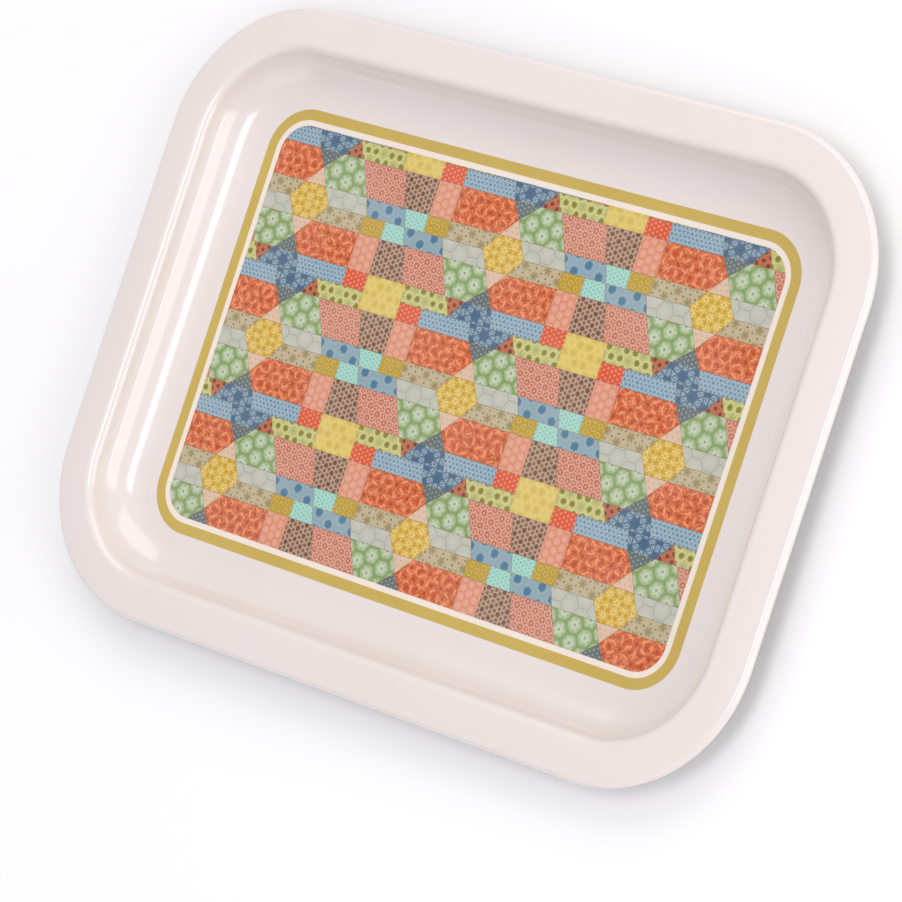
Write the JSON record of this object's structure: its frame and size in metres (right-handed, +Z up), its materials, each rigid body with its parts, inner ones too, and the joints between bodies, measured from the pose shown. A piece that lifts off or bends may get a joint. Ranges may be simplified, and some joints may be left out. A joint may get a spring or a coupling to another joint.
{
  "type": "serving tray",
  "caption": "Rectangular serving tray with round corners, a hollow-curved wall, a wide flat flange with a curled edge and a framed patchwork print.",
  "frame": {"origin": "on the surface that the tray stands on, under the middle of its floor", "axes": "+X along the tray's length, +Y across it, +Z up out of the open side"},
  "size_m": [0.332, 0.25, 0.0166],
  "materials": {
    "cream_lacquer": "gloss",
    "white_ink": "gloss",
    "gold_ink": "gloss",
    "patchwork_ink": "satin"
  },
  "bodies": {
    "root": {"tray_body": "cream_lacquer", "white_underprint": "white_ink", "gold_border_line": "gold_ink", "patchwork_print": "patchwork_ink"}
  },
  "joints": []
}
